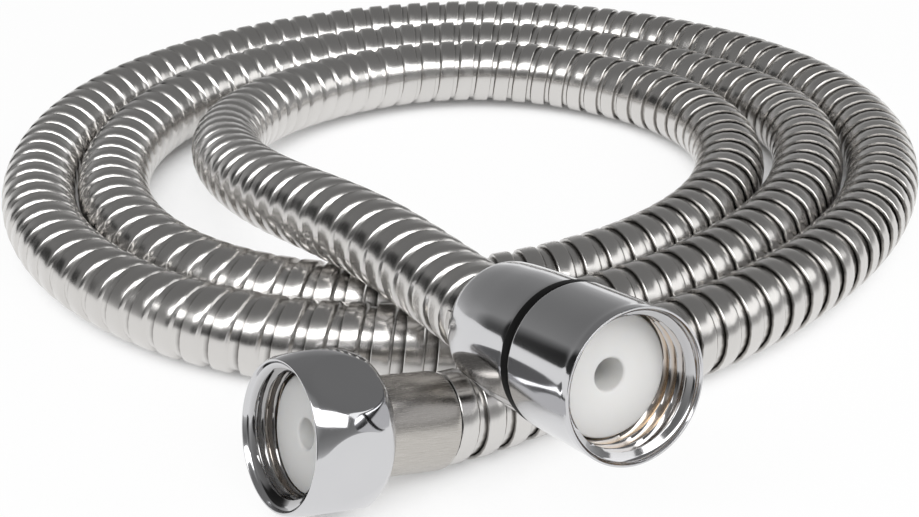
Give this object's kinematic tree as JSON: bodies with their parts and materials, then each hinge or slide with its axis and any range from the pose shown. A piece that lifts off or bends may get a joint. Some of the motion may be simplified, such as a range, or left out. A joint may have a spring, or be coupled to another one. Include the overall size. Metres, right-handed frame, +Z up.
{
  "type": "shower hose",
  "caption": "Coiled flexible metal shower hose with a six-sided swivel nut at one end and a round swivel nut with a black ring and long sleeve at the other.",
  "frame": {"origin": "on the table, under the middle of the coil's bounding box", "axes": "+Z up from the table, +Y across the coil away from the two ends, +X to the right as the ends are faced"},
  "size_m": [0.1982, 0.2356, 0.0431],
  "materials": {
    "casing": "polished wound steel strip",
    "tube": "matte",
    "nut": "chrome-plated brass",
    "insert": "smooth white",
    "ferrule": "brushed along the axis",
    "ring": "smooth black"
  },
  "bodies": {
    "hose": {"outer_casing": "casing", "inner_tube": "tube", "hex_insert": "insert", "hex_ferrule": "ferrule", "round_insert": "insert", "swivel_ring": "ring", "rear_sleeve": "nut", "round_ferrule": "ferrule"},
    "hex_nut": {"hex_nut": "nut"},
    "round_nut": {"round_nut": "nut"}
  },
  "joints": [
    {"name": "hex_nut_swivel", "type": "hinge", "parent": "hose", "child": "hex_nut", "pos_m": [-0.02118, -0.09257, 0.013], "axis": [-0.8133, -0.526, 0.2486], "continuous": true},
    {"name": "round_nut_swivel", "type": "hinge", "parent": "hose", "child": "round_nut", "pos_m": [0.0176, -0.10432, 0.03061], "axis": [0.4856, -0.8516, 0.1973], "continuous": true}
  ]
}
